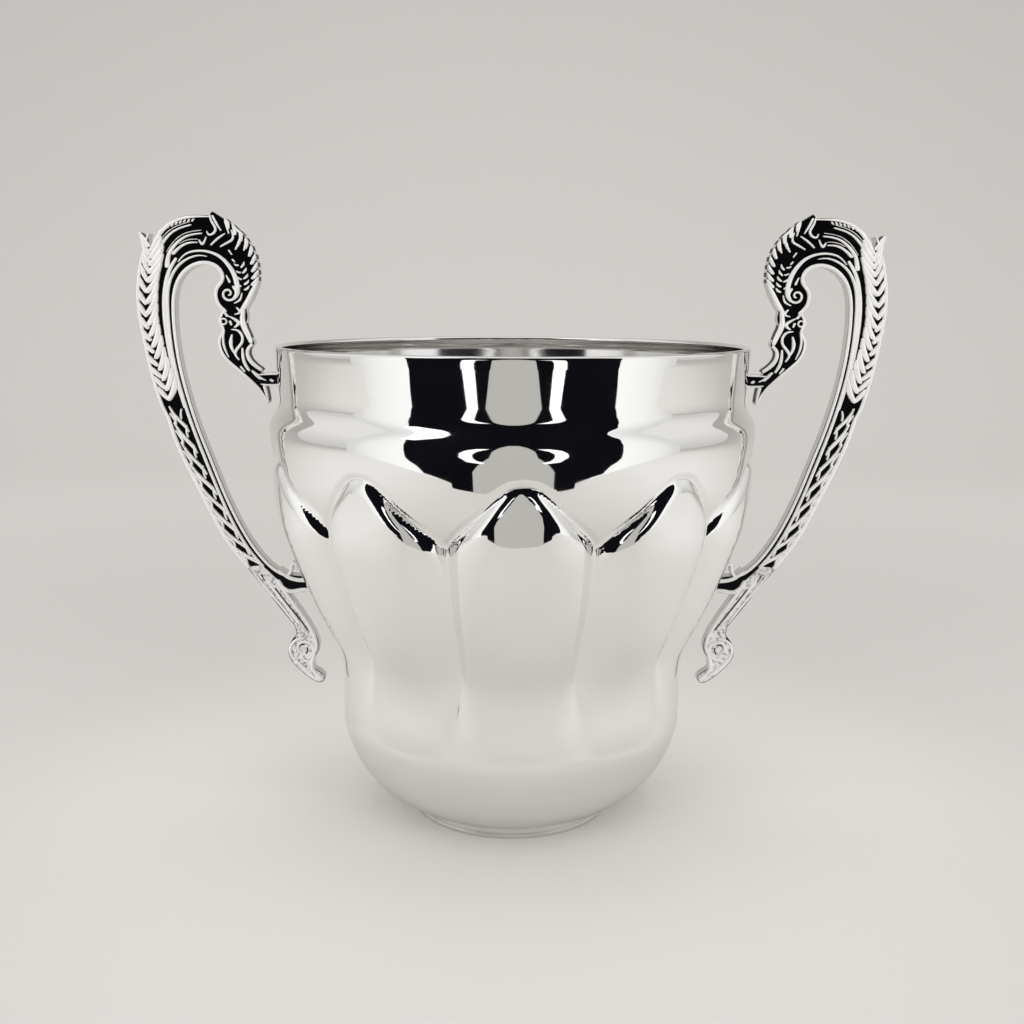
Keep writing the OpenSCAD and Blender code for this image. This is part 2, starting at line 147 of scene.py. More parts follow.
def silver_plate(name, bright, worn, smooth=0.015, dull=0.05):
    """Buffed silver plate: a mirror with a faint cloudiness and the slow waves that buffing leaves."""
    finish, tree, shader = metal(name)
    link(tree, ramp(tree, noise(tree, 35, 3), 0.35, 0.65, worn, bright), shader.inputs["Base Color"])
    link(tree, between(tree, noise(tree, 60, 4), 0.3, 0.7, smooth, dull), shader.inputs["Roughness"])
    bumped(tree, shader, noise(tree, 28, 1), buffing_wave)
    return finish


foot_silver = silver_plate("foot_silver", (0.93, 0.92, 0.90), (0.88, 0.87, 0.85), 0.28, 0.4)
blank_mesh("foot_ring_turned", *turned(foot_outer + foot_inner, foot_sides), [foot_silver], "foot_ring", "foot_ring")

# ---------------------------------------------------------------------------------------------------------------------
# The bowl: one sheet of brass 1.2 mm thick, spun to the collar, shoulder and bulb, then pressed from inside into ten
# upright lobes with arched heads, and silver-plated. Its lip is rolled inwards to a bead.
wall = 1.2
lobes = 10
lobe_turn = 1.8
collar_top = 183.1
collar_radius = 90
bead_radius = 1.2
bead_centre = (collar_radius - bead_radius, collar_top)
neck = (88.5, 164.5)
bulb = [(38.2, 3.6), (43.8, 6), (49.6, 9.7), (54.6, 13.8), (58.4, 18), (61.3, 22.2), (63.5, 26.6), (65.2, 31),
        (66.3, 35), (66.8, 39)]
waist = [(66.5, 42), (65.4, 45.6), (63.3, 49.1), (61.6, 51), (61, 60), (63, 75), (67, 95), (72, 112)]
shoulder = [(76.4, 117.4), (80.8, 121), (85.4, 127), (88.7, 133), (90.5, 138.5), (91.65, 144.4), (92.4, 149.5),
            (92.6, 152.5), (92.2, 156), (90.9, 158.9), (89.3, 161.5), (88.3, 164.2)]
lobe_line = [(66.7, 40), (67.1, 46), (67, 52), (67, 58), (68.3, 66), (71.6, 74), (76.1, 83), (80.1, 92), (83.8, 101),
             (87.3, 110), (89.9, 118), (91.0, 124), (91.72, 130), (92.1, 137), (92.4, 146), (92.6, 156)]
fold_line = [(66.6, 38), (66.15, 44), (65.65, 50), (65.1, 56), (64.6, 62), (64.5, 68), (65.7, 74), (68.7, 83),
             (72.2, 92), (75.2, 101), (77.7, 110), (79.4, 118), (80.2, 124), (81.1, 132), (82.3, 142), (83.8, 156)]
flatness = 3.2
fold_easing = 1.8
groove_depth = 1.2
groove_below = 4.8
groove_above = 2.2
lower_seat = (77.2, 90.1, 6)
seat_radius = 5
seat_blend = 1.0
seat_reach = 0.12
steepest = 1.8
columns = 48
lobed_rows = 168
lobed_low = 40.2
lobed_high = 163.4
round_from = 60


def through(points, steps):
    """A smooth line through the points, bent as a draughtsman's spline bends; each span has so many steps."""
    n = len(points)
    t = [0.0]
    for a, b in zip(points, points[1:]):
        t.append(t[-1] + math.dist(a, b))
    lines = []
    for axis in range(len(points[0])):
        y = [p[axis] for p in points]
        m, c, d = [0.0] * n, [0.0] * n, [0.0] * n
        for i in range(1, n - 1):
            h0, h1 = t[i] - t[i - 1], t[i + 1] - t[i]
            turn = 6 * ((y[i + 1] - y[i]) / h1 - (y[i] - y[i - 1]) / h0)
            w = 2 * (h0 + h1) - h0 * c[i - 1]
            c[i], d[i] = h1 / w, (turn - h0 * d[i - 1]) / w
        for i in range(n - 2, 0, -1):
            m[i] = d[i] - c[i] * m[i + 1]
        line = []
        for i in range(n - 1):
            h = t[i + 1] - t[i]
            for k in range(steps):
                b = k / steps
                a = 1 - b
                line.append(a * y[i] + b * y[i + 1] + h * h / 6 * ((a**3 - a) * m[i] + (b**3 - b) * m[i + 1]))
        line.append(y[-1])
        lines.append(line)
    return list(zip(*lines))


def read_off(line, height):
    """The radius of a line [(radius, height)] at a height; heights rise along the line."""
    low, high = 0, len(line) - 1
    while high - low > 1:
        middle = (low + high) // 2
        if line[middle][1] > height:
            high = middle
        else:
            low = middle
    (r0, z0), (r1, z1) = line[low], line[high]
    return r0 + (r1 - r0) * (height - z0) / (z1 - z0)


core_line = through(bulb + waist + shoulder, 24)
lobe_crown = through(lobe_line, 24)
lobe_fold = through(fold_line, 24)
pitch = math.tau / lobes
head_arch = through([(143.6, 0), (143.2, 2), (141.2, 4.1), (137.6, 6.6), (133, 9.5), (127, 14), (121, 18)], 12)
arch = [read_off(head_arch, 180 / lobes * k / (columns // 2)) for k in range(columns // 2 + 1)]


def eased_max(a, b, easing):
    """The larger of two radii, with the corner where they cross filled to a soft curve."""
    near = max(easing - abs(a - b), 0) / easing
    return max(a, b) + near * near * easing / 4


def lobe_radius(crown, fold, angle):
    """The radius of a lobe at an angle from its middle: broad over the middle, and turned in fast to the folds."""
    return crown - (crown - fold) * (angle / (pitch / 2)) ** flatness


def wall_row(height):
    """The outer radius at each column round one half lobe, from the middle to the fold."""
    core, crown, fold = (read_off(line, height) for line in (core_line, lobe_crown, lobe_fold))
    row = []
    for k in range(columns // 2 + 1):
        angle = pitch * k / columns
        lobe = eased_max(lobe_radius(crown, fold, angle), lobe_radius(crown, fold, pitch - angle), fold_easing)
        before, after = max(k - 1, 0), min(k + 1, len(arch) - 1)
        slope = (arch[after] - arch[before]) / (collar_radius * pitch / columns * (after - before))
        off = (arch[k] - height) / math.hypot(1, slope)
        if off < 0:
            row.append(core - groove_depth * max(1 + off / groove_above, 0) ** 2)
            continue
        head = lobe_radius(read_off(lobe_crown, arch[k]), read_off(lobe_fold, arch[k]), angle)
        at_arch = read_off(core_line, arch[k]) - head
        share = max(1 - off / groove_below, 0) ** 2
        row.append(max(lobe + (at_arch - groove_depth) * share, core if height < round_from else 0))
    return row


def seat_radius_at(angle, height, plain):
    """The wall with the round seat that is pressed out for a lower lug on the X axis."""
    x, z, lean = lower_seat
    side = plain * math.sin(angle)
    out = x - (height - z) * math.tan(math.radians(lean))
    off = math.hypot(side, (height - z) / math.cos(math.radians(lean)))
    share = min(max((seat_radius + seat_blend / 2 - off) / seat_blend, 0), 1)
    seat = out / max(math.cos(angle), 0.5)
    return plain + max(seat - plain, 0) * share * share * (3 - 2 * share)


def pressed_bowl():
    """Points and faces of the whole bowl: up the inside, over the bead and down the outside."""
    around = lobes * columns
    heights = [lobed_low + (lobed_high - lobed_low) * j / lobed_rows for j in range(lobed_rows + 1)]
    turn = math.radians(-90 + lobe_turn)
    angles = [turn + math.tau * i / around for i in range(around)]
    # the outside of the lobed wall, with its two seats
    outer = []
    for z in heights:
        half = wall_row(z)
        row = [half[min(i % columns, columns - i % columns)] for i in range(around)]
        if abs(z - lower_seat[1]) < seat_radius + 1:
            for i, a in enumerate(angles):
                for middle in (0, math.pi):
                    away = (a - middle + math.pi) % math.tau - math.pi
                    if abs(away) < seat_reach:
                        row[i] = seat_radius_at(away, z, row[i])
        outer.append(row)
    # its inside, one thickness further in, square to the surface
    step = heights[1] - heights[0]
    inner = []
    for j, row in enumerate(outer):
        low, high = outer[max(j - 1, 0)], outer[min(j + 1, len(outer) - 1)]
        rise = step * (min(j + 1, len(outer) - 1) - max(j - 1, 0))
        thin = []
        for i, r in enumerate(row):
            up = (high[i] - low[i]) / rise
            turn_side = (row[(i + 1) % around] - row[i - 1]) / (2 * r * math.tau / around)
            thin.append(r - wall * min(math.sqrt(1 + up * up + turn_side * turn_side), steepest))
        inner.append(thin)
    # the round bottom below the lobes and its inside
    bottom = [p for p in core_line if p[1] < lobed_low - 0.5]
    thin_bottom = []
    for i, (r, z) in enumerate(bottom):
        (r0, z0), (r1, z1) = bottom[max(i - 1, 0)], bottom[min(i + 1, len(bottom) - 1)]
        run = math.hypot(r1 - r0, z1 - z0)
        thin_bottom.append((r - wall * (z1 - z0) / run, z + wall * (r1 - r0) / run))
    # all rows, from the middle of the inside over the bead to the middle underneath
    every = 6
    rows = [(0.0, bottom[0][1] + wall)] + [(r, thin_bottom[0][1]) for r in (8, 16, 24, 32)] + thin_bottom[::every]
    rows += list(zip(inner, heights))
    inside_rows = len(rows) + 8
    top_in = (collar_radius - wall - 0.2, collar_top - 1.6 * bead_radius)
    rows += [(neck[0] - wall, neck[1] + 0.3)]
    rows += [(neck[0] - wall + (top_in[0] - neck[0] + wall) * k / 6,
              neck[1] + 0.3 + (top_in[1] - neck[1] - 0.3) * k / 6) for k in range(1, 7)]
    for a in (math.radians(degrees) for degrees in range(240, -1, -15)):
        rows.append((bead_centre[0] + bead_radius * math.cos(a), bead_centre[1] + bead_radius * math.sin(a)))
    rows += [(collar_radius + (neck[0] - collar_radius) * k / 6, collar_top + (neck[1] + 0.35 - collar_top) * k / 6)
             for k in range(1, 7)]
    rows += list(zip(outer, heights))[::-1] + bottom[::-every] + [(r, bottom[0][1]) for r in (36.4, 28, 16, 8)]
    rows += [(0.0, bottom[0][1])]
    points, faces, face_finish = [], [], []
    for r, z in rows[1:-1]:
        for i, a in enumerate(angles):
            here = r[i] if isinstance(r, list) else r
            points.append((here * math.cos(a), here * math.sin(a), z))
    n = len(rows) - 2
    for j in range(n - 1):
        for i in range(around):
            k = (i + 1) % around
            faces.append((j * around + i, j * around + k, (j + 1) * around + k, (j + 1) * around + i))
            face_finish.append(1 if j < inside_rows else 0)
    first = len(points)
    points += [(0, 0, rows[0][1]), (0, 0, rows[-1][1])]
    for i in range(around):
        k = (i + 1) % around
        faces.append((first, k, i))
        faces.append((first + 1, (n - 1) * around + i, (n - 1) * around + k))
        face_finish += [1, 0]
    return points, [f[::-1] for f in faces], face_finish


def satin_silver(name):
    """The inside is plated but not buffed: satin, with faint rings from spinning."""
    finish, tree, shader = metal(name)
    link(tree, ramp(tree, noise(tree, 30, 3), 0.35, 0.65, (0.80, 0.79, 0.77), (0.90, 0.89, 0.87)),
         shader.inputs["Base Color"])
    link(tree, between(tree, noise(tree, 40, 4), 0.3, 0.7, 0.10, 0.16), shader.inputs["Roughness"])
    bumped(tree, shader, noise(tree, 40, 2, (1, 1, 12)), 0.000012)
    return finish


bowl_silver = silver_plate("bowl_silver", (0.955, 0.95, 0.935), (0.94, 0.935, 0.915))
bowl_points, bowl_faces, bowl_face_finish = pressed_bowl()
blank_mesh("bowl_pressed", bowl_points, bowl_faces, [bowl_silver, satin_silver("bowl_inside")], "bowl", "bowl",
           bowl_face_finish)

# ---------------------------------------------------------------------------------------------------------------------
# The handles: two castings of one pattern, the left turned half round from the right. Each is a flat openwork ground,
# darkened with oxide, with polished ribs, volutes and leaf sprays standing up on both faces. Drawn as (x, z) in
# millimetres for the right handle, in the plane of the handles.
ground_half = 2.4
rib_half = 3.5
leaf_half = 4.2
rib_round = 1.3
finger_edge = [(109.6, 196.2), (111.9, 198.6), (113.1, 202), (112.4, 205.6), (110.5, 208.2), (110.8, 211.2),
               (113.2, 213.3), (117, 213.9), (121.2, 212.6), (125.1, 209), (127.4, 203.5), (128.1, 197),
               (127.7, 185.5), (126.2, 174.1), (123.6, 162.6), (120.2, 151), (116.2, 139.8), (111.5, 126.8),
               (107.2, 116.8), (102.9, 108.6), (99.1, 102.9), (95.2, 98.4), (91.6, 95.6), (88.4, 94.2)]
outer_edge = [(137.5, 225.3), (139.6, 219.5), (141.6, 211), (142.6, 202.4), (142.3, 195), (141.3, 188), (139.4, 176),
              (136.6, 164.5), (134.9, 159.4), (133.4, 156.2), (131, 147.8), (125.3, 134.1), (119, 120.6),
              (112.4, 107.6), (104.6, 97), (97, 87.4), (90.6, 79), (86.2, 73)]
crest_side = [(101.2, 197), (98.6, 202), (96.4, 207.4)]
crest_barbs = [(96.2, 208.2), (96.2, 212.4), (97, 216.8), (98.6, 220.8), (101.2, 224.6), (104.6, 228), (108.4, 230.7),
               (112.7, 233.4)]
crest_top = [(114, 231.9), (119.5, 232), (125, 231.2), (130.3, 228.3), (134.2, 223.8), (136.4, 220.8)]
tail_edge = [(85.6, 69.6), (87.7, 67), (89.1, 63.3), (88.1, 58.7), (85.3, 55.4), (79.4, 50.5), (76.2, 49.7),
             (74.8, 51.2), (75.6, 53.2), (80.3, 57.3), (79.6, 59.4), (77.4, 62.2), (76.8, 65.6), (77.9, 69.4),
             (80.9, 74.8), (84.6, 80.6), (88.2, 86.6)]
leaf_outer = [(109.8, 197.4), (111.4, 194.6), (111.9, 192.6), (110.7, 190.2), (112, 186.6), (112, 182.6),
              (110.3, 179), (106.4, 175.2), (101.4, 170.8), (97.4, 166.8), (94.4, 161.6)]
leaf_inner = [(96.4, 174), (99, 176.3), (100.8, 179), (101, 182), (98.7, 184.2), (100.4, 187.6), (101.9, 190.6),
              (100.9, 194), (101.2, 197)]
casting = {"points": [], "faces": [], "finish": []}
GROUND, RAISED, RIM, EDGE = 0, 1, 2, 3


def moved_in(line, distance):
    """The line moved sideways by a distance, to its left as it runs."""
    out = []
    for i, (x, z) in enumerate(line):
        (x0, z0), (x1, z1) = line[max(i - 1, 0)], line[min(i + 1, len(line) - 1)]
        run = math.hypot(x1 - x0, z1 - z0) or 1
        out.append((x - distance * (z1 - z0) / run, z + distance * (x1 - x0) / run))
    return out


def plate(outline, half, finish=GROUND):
    """A flat plate with the outline, cast half thick to either side of the handles' plane."""
    first, n = len(casting["points"]), len(outline)
    for y in (-half, half):
        casting["points"] += [(x, y, z) for x, z in outline]
    fill = tessellate_polygon([[Vector((x, z, 0)) for x, z in outline]])
    for a, b, c in fill:
        casting["faces"] += [(first + a, first + b, first + c), (first + n + c, first + n + b, first + n + a)]
        casting["finish"] += [finish, finish]
    for i in range(n):
        j = (i + 1) % n
        casting["faces"].append((first + i, first + n + i, first + n + j, first + j))
        casting["finish"].append(EDGE)


def raise_rib(line, widths, half=rib_half, finish=RAISED, steps=5):
    """A rounded rib along the line, through to both faces; its width runs through the list from end to end."""
    line = through(line, steps)
    n = len(line)
    ends = [(-0.94, 0.34), (-0.7, 0.72)]
    rings = []
    for i, (x, z) in enumerate(line):
        (x0, z0), (x1, z1) = line[max(i - 1, 0)], line[min(i + 1, n - 1)]
        run = math.hypot(x1 - x0, z1 - z0) or 1
        along, side = ((x1 - x0) / run, (z1 - z0) / run), ((z1 - z0) / run, -(x1 - x0) / run)
        u = i / (n - 1) * (len(widths) - 1)
        k = min(int(u), len(widths) - 2)
        w = (widths[k] + (widths[k + 1] - widths[k]) * (u - k)) / 2
        if i == 0:
            rings += [(x + along[0] * w * push, z + along[1] * w * push, side, w * thin) for push, thin in ends]
        rings.append((x, z, side, w))
        if i == n - 1:
            rings += [(x - along[0] * w * push, z - along[1] * w * push, side, w * thin)
                      for push, thin in reversed(ends)]
    first = len(casting["points"])
    turns = [math.radians(a) for a in (0, 30, 60, 90, 120, 150, 180)]
    for x, z, side, w in rings:
        rise = min(w * 1.15, rib_round)
        section = [(w * math.cos(a), -(half - rise) - rise * math.sin(a)) for a in turns]
        section += [(-u, -y) for u, y in section]
        casting["points"] += [(x + side[0] * u, y, z + side[1] * u) for u, y in section]
    m = 2 * len(turns)
    for i in range(len(rings) - 1):
        for k in range(m):
            j = (k + 1) % m
            casting["faces"].append((first + i * m + k, first + i * m + j, first + (i + 1) * m + j,
                                     first + (i + 1) * m + k))
            casting["finish"].append(EDGE if finish == RIM and k % len(turns) == len(turns) - 1 else finish)
    last = first + (len(rings) - 1) * m
    casting["faces"] += [tuple(range(first + m - 1, first - 1, -1)), tuple(range(last, last + m))]
    casting["finish"] += [finish, finish]


def leaflets(stalk, count, side, width, length, lean, stop=1.0, half=leaf_half):
    """Pointed leaves along one side of a stalk, each leaning forward along it."""
    line = through(stalk, 6)
    for i in range(count):
        u = stop * (i + 0.5) / count * (len(line) - 1)
        k = min(int(u), len(line) - 2)
        (x0, z0), (x1, z1) = line[k], line[k + 1]
        x, z = x0 + (x1 - x0) * (u - k), z0 + (z1 - z0) * (u - k)
        forward = math.atan2(z1 - z0, x1 - x0)
        a = forward + side * math.radians(lean)
        b = forward + side * math.radians(lean * 0.6)
        tip = (x + length * (math.cos(a) + math.cos(b)) / 2, z + length * (math.sin(a) + math.sin(b)) / 2)
        middle = (x + length / 2 * math.cos(a), z + length / 2 * math.sin(a))
        raise_rib([(x, z), middle, tip], [width * 0.8, width, width * 0.95, width * 0.3], half, RAISED, 3)


def spiral(centre, r0, r1, a0, a1, count=16):
    """A line wound about a centre, from one radius and angle in degrees to another."""
    line = []
    for i in range(count + 1):
        r, a = r0 + (r1 - r0) * i / count, math.radians(a0 + (a1 - a0) * i / count)
        line.append((centre[0] + r * math.cos(a), centre[1] + r * math.sin(a)))
    return line


# the ground plates of the grip with its crest, and of the S-shaped leaf that joins it to the upper lug
grip_edge, grip_outside = through(finger_edge, 4), through(outer_edge, 4)
plate(grip_edge + through(tail_edge, 4)[::-1] + grip_outside[::-1] + through(crest_top, 4)[::-1]
      + through(crest_barbs, 3)[::-1] + crest_side[::-1], ground_half)
plate(through(leaf_outer, 4) + [(95.2, 167.6)] + through(leaf_inner, 4) + [(103, 199), (108, 199)], ground_half - 0.1)

# the rim along the finger gap, the two ribs beside it, and the broad rib that they leave
raise_rib(moved_in(finger_edge, 0.65), [1.2, 1.4, 1.4, 1.2, 1.0, 1.0, 1.2], rib_half + 0.2, RIM)
raise_rib([(115.3, 216.9), (118, 217.2), (122, 216.2), (126.2, 213.3), (129.2, 208.6), (130.6, 203), (130.9, 196),
           (130.4, 185), (128.7, 173), (126, 161.5), (122.6, 150.2), (118.6, 138.8), (113.9, 126), (109.4, 115.2),
           (105.2, 107.2), (101.4, 101.6), (98, 97.6)],
          [0.3, 0.9, 1.2, 1.3, 1.2, 1.1, 0.9], rib_half)
raise_rib(moved_in([(127.7, 216.2), (130.3, 212), (132, 206.6), (132.9, 200), (132.7, 190), (131.4, 179),
                    (129.2, 168.5), (127, 160)], -0.7),
          [1.2, 1.9, 1.9, 1.6, 0.8], rib_half - 0.5)

# the ribs that fan over the arch beneath the crest leaf
raise_rib([(126, 214.9), (123.3, 217.6), (118.8, 218.9), (114.2, 218.5), (110.4, 216.8), (107.4, 213.8),
           (105.1, 209.6), (104.3, 205.9), (104.6, 202.8),
           (105.5, 201.4)], [0.3, 0.7, 0.9, 1.3, 1.9, 2.0, 1.2], rib_half + 0.1)
for fan, widths in (([(130.4, 213.6), (129.4, 217.8), (126.5, 221.6), (122.7, 224.2), (116.9, 225.3)],
                     [2.0, 1.3, 0.8, 0.5]),
                    ([(127.7, 218), (124.8, 220.5), (121.8, 221.8), (118.6, 222)], [1.2, 0.9, 0.7, 0.4]),
                    ([(134.8, 212.6), (133.7, 218.0), (130.8, 222.9), (127, 226.2), (120.8, 228.4)],
                     [2.0, 1.4, 0.8, 0.5])):
    raise_rib(fan, widths, rib_half - 0.1)
    raise_rib(moved_in(fan[1:], -1.2), [0.25, 0.32, 0.25], rib_half - 0.8)
raise_rib(moved_in([(113.6, 232), (119.5, 232), (125, 231.1), (130.3, 228.2), (134.2, 223.8), (136.6, 219.6)], -0.6),
          [0.4, 0.9, 1.2, 1.5, 1.6], rib_half, RIM)
for k in range(9):
    bead = (132.6 - 1.55 * k, 226 + 3.9 * math.sin(0.19 * k))
    raise_rib([bead, (bead[0] - 0.5, bead[1] + 0.6)], [0.7, 0.6], rib_half - 0.4, RAISED, 2)

# the crest leaf: folded veins along its midrib and barbs along its outer edge
for vein, widths in (([(113.6, 232), (112.8, 229.4), (111.7, 226.3), (114.2, 224.9), (114.8, 226)],
                      [0.5, 0.8, 0.9, 0.7, 0.4]),
                     ([(112.5, 231.6), (111.2, 229), (109.6, 226.4)], [0.7, 0.8, 0.4]),
                     ([(117.8, 222.8), (116.9, 221.5), (115.2, 223.9)], [0.5, 1.1, 0.4]),
                     ([(108, 229.8), (107.3, 227.6), (106.7, 225.4)], [0.5, 0.8, 0.4]),
                     ([(108.2, 225.2), (110.8, 223.5), (113.4, 221.2)], [0.4, 0.8, 0.6]),
                     ([(105.6, 226.4), (105.3, 223.4), (107.4, 221.9), (109.9, 220.5)], [0.5, 0.9, 0.8, 0.5]),
                     ([(104.4, 227.6), (102.9, 226), (101.4, 224.9)], [0.5, 0.8, 0.4]),
                     ([(102.2, 224.6), (103, 222), (104.3, 219.6)], [0.5, 1.3, 0.6]),
                     ([(100.2, 222.8), (100.6, 221), (101.2, 219.2)], [0.5, 1.2, 0.5]),
                     ([(106.8, 219), (105.8, 217.6)], [0.6, 0.4]), ([(105.6, 215.7), (104.9, 214.9)], [0.6, 0.5])):
    raise_rib(vein, widths, rib_half, RAISED, 4)
leaflets([(98.6, 205.4), (98.2, 209), (98.3, 213), (99.2, 217.4), (101.4, 221.6), (104.4, 225.2), (108.2, 228.4)],
         9, 1, 1.5, 3.4, 42, half=rib_half + 0.2)
leaflets([(101.4, 203.6), (101.4, 207), (101.8, 210.6), (102.8, 214)], 5, 1, 0.9, 2.2, 60, half=rib_half - 0.4)
leaflets([(103.2, 204.6), (102.6, 208), (103, 211.4), (104, 215)], 4, -1, 0.7, 1.7, 70, half=rib_half - 0.5)
raise_rib([(96.6, 207.6), (98.8, 203.4), (101.6, 198.6), (103.2, 196.6)], [1.0, 2.3, 2.3, 1.3], rib_half, RIM)
raise_rib([(102.6, 203.2), (103.4, 200.9), (105.5, 199.6)], [0.4, 0.8, 0.4], rib_half - 0.2)
raise_rib([(108.2, 209.8), (107.2, 207.6)], [0.5, 1.0], rib_half - 0.4)

# the upper volute
raise_rib(spiral((107.7, 203.1), 3.2, 0.6, 130, 600), [1.0, 0.8, 0.6], rib_half, RAISED, 2)

# the sprays of pointed leaves down the grip, on either side of their stalk
stalk = [(131.5, 161.5), (132.9, 167.9), (134.9, 174.4), (136.8, 182), (138.1, 189), (138.6, 196), (138.4, 203),
         (137.5, 209.6), (136.6, 214.5), (136.4, 219), (137, 224)]
leaflets(moved_in(stalk, -0.45), 15, -1, 1.8, 5.4, 33, stop=0.97)
leaflets(moved_in(stalk, 0.35), 15, 1, 2.3, 8.2, 36, stop=0.88)
raise_rib(moved_in(outer_edge[:10], -0.7), [0.6, 1.3, 1.4, 1.3, 1.2], rib_half, RIM)

# the vine below the sprays: scrolls bent as an S, each overlapping the next, with a small hook on either side
raise_rib(moved_in(outer_edge[9:15], -0.75), [1.5, 1.8, 1.6], rib_half - 0.2, RIM)
vine = through([(129.6, 160), (127.6, 152.6), (124.4, 143), (120.4, 133), (116, 123.4), (111.2, 113.4), (106, 104.6),
                (100.6, 97.4)], 12)
scroll = ((-0.1, -2.1), (0.3, -1.3), (0.65, 0.1), (0.95, 1.5), (1.2, 2.2))
hook_outside = ((0.2, -2.6), (0.42, -1.9), (0.62, -1.5), (0.75, -1.8))
hook_inside = ((0.15, 2.0), (0.4, 1.1), (0.55, 1.0))
for k in range(8):
    a = vine[10 * k]
    b = vine[min(10 * k + 13, len(vine) - 1)]
    run = math.dist(a, b)
    along, out = ((b[0] - a[0]) / run, (b[1] - a[1]) / run), (-(b[1] - a[1]) / run, (b[0] - a[0]) / run)
    for weight, bend in ((1.0 + 0.2 * (k % 2), scroll), (0.7, hook_outside), (0.6, hook_inside)):
        raise_rib([(a[0] + along[0] * run * u - out[0] * v, a[1] + along[1] * run * u - out[1] * v) for u, v in bend],
                  [0.5, 1.1 * weight, 1.2 * weight, 0.5], rib_half + 0.3, RAISED, 4)

# the S-shaped leaf: its rim and spike, the hooked rib inside it, the bars above the lug and the notched inner edge
raise_rib(moved_in(leaf_outer, -0.5), [0.8, 1.0, 1.0, 1.0, 0.9, 0.6], rib_half, RIM)
for stroke, widths in (([(109.7, 189.5), (110.3, 186.6), (110, 183.1), (108.4, 179.3)], [0.4, 0.8, 0.8, 0.3]),
                       ([(106.8, 189.7), (104.8, 189.4), (103.1, 187.3), (103.2, 185), (104.6, 183.1), (105.9, 180.6),
                         (104.6, 178.4)], [0.4, 0.9, 1.0, 1.1, 0.5]),
                       ([(106.9, 187.6), (107.5, 185), (107.2, 182.8), (106.3, 180.9)], [0.6, 1.5, 1.1, 0.6]),
                       ([(103.1, 182.5), (103, 179.3), (102.2, 176.4), (100.9, 174.4)], [0.7, 1.2, 1.2, 0.9]),
                       ([(103.9, 175.6), (102.6, 173.9)], [0.7, 0.6]),
                       ([(99.5, 173.9), (98.2, 172.6), (96.8, 171)], [0.9, 1.4, 0.5]),
                       ([(102.4, 196.6), (102.7, 192), (101.3, 188.4), (99.9, 185.2)], [1.6, 2.4, 2.0, 1.5]),
                       ([(99.6, 184), (101.1, 182.2), (101, 179.2), (99.4, 176.8), (96.4, 174.6)],
                        [1.0, 1.3, 1.5, 1.2]),
                       ([(109.7, 196.4), (108.5, 194.9)], [0.7, 1.0]),
                       ([(108.1, 194.8), (105.9, 193.7), (104.3, 192.1), (105.7, 190.6)], [0.3, 0.9, 1.4, 0.6]),
                       ([(107.4, 192.6), (107, 191.6)], [0.9, 0.7]),
                       ([(104.6, 197.8), (103.6, 196.2), (105.4, 195.4)], [0.6, 0.9, 0.4]),
                       ([(95.1, 168), (94.4, 165), (93.9, 162.6)], [1.4, 1.1, 0.5])):
    raise_rib(stroke, widths, rib_half, RAISED, 4)
raise_rib(spiral((109.9, 192.7), 1.1, 1.1, 60, 400, 10), [0.6, 0.6], rib_half - 0.2, RAISED, 2)

# the lugs: a rounded bar with an end flange on the collar, and two bars with a slot between them on the lower seat
raise_rib([(97.4, 170.9), (94, 170.8), (89.2, 170.9)], [4.2, 4.6, 4.6], leaf_half - 0.9, GROUND, 3)
raise_rib([(89.6, 173.2), (89.4, 168.6)], [1.1, 1.1], leaf_half - 0.1, RIM, 3)
raise_rib([(92.5, 170.6), (92.0, 170.4)], [1.1, 1.1], leaf_half - 0.5, RIM, 2)
raise_rib([(97.6, 172.6), (93.6, 172.9), (89.8, 173)], [0.4, 0.8, 0.8], rib_half + 0.1, RIM, 3)
raise_rib([(96.2, 169), (92.8, 168.7), (89.8, 168.8)], [0.5, 0.9, 0.8], rib_half + 0.1, RIM, 3)
raise_rib([(94.6, 170.6), (96.8, 171.6), (98.6, 173)], [0.4, 1.2, 0.6], rib_half, RAISED, 3)
plate([(78.6, 87.2), (88.2, 86.8), (93, 95), (88.4, 94), (78, 93)], ground_half + 0.4)
raise_rib([(78.2, 92.2), (84, 92), (88.6, 93.4), (91.6, 96)], [1.7, 1.6, 1.5, 0.6], leaf_half, RIM)
raise_rib([(78.4, 87.9), (84, 87.9), (88.2, 87.6), (90.4, 89.6)], [1.7, 1.6, 1.6, 0.8], leaf_half, RIM)
raise_rib([(88.4, 93.8), (87.2, 95.4), (86.8, 97.6), (86, 98.8), (84.9, 97.4), (85, 95.8)], [1.2, 1.3, 1.0, 0.8, 0.5],
          rib_half, RIM)

# the tail: polished, with a rim, a bevelled band and scored lines down it, wound into the lower volute and its tip
plate(moved_in(through(outer_edge[14:], 4) + through(tail_edge, 4) + [(92.6, 92.4), (98.4, 98)], -0.25),
      ground_half + 0.15, RAISED)
raise_rib([(92.2, 91.4), (88.6, 85.4), (84.9, 79.8), (81.4, 74.4), (78.9, 69.6), (77.9, 65.8), (78.5, 62.6),
           (80.8, 60)], [1.7, 1.6, 1.5, 1.5, 1.2, 0.7], rib_half, RIM)
raise_rib([(97.4, 92.6), (93.2, 86.8), (88.8, 80.6), (84.6, 74.4)], [2.0, 2.6, 2.4, 1.4], rib_half - 0.6, RAISED)
raise_rib([(101.6, 94.4), (96, 87.2), (90.6, 80.2), (86.8, 75)], [0.7, 1.0, 1.0, 0.8], rib_half - 0.2, RIM)
raise_rib(spiral((83.4, 63.4), 0.9, 4.9, -420, -150, 16) + [(79.9, 55.6), (76.2, 51.5)],
          [0.7, 0.9, 1.1, 1.3, 1.5, 1.6], rib_half, RIM, 2)
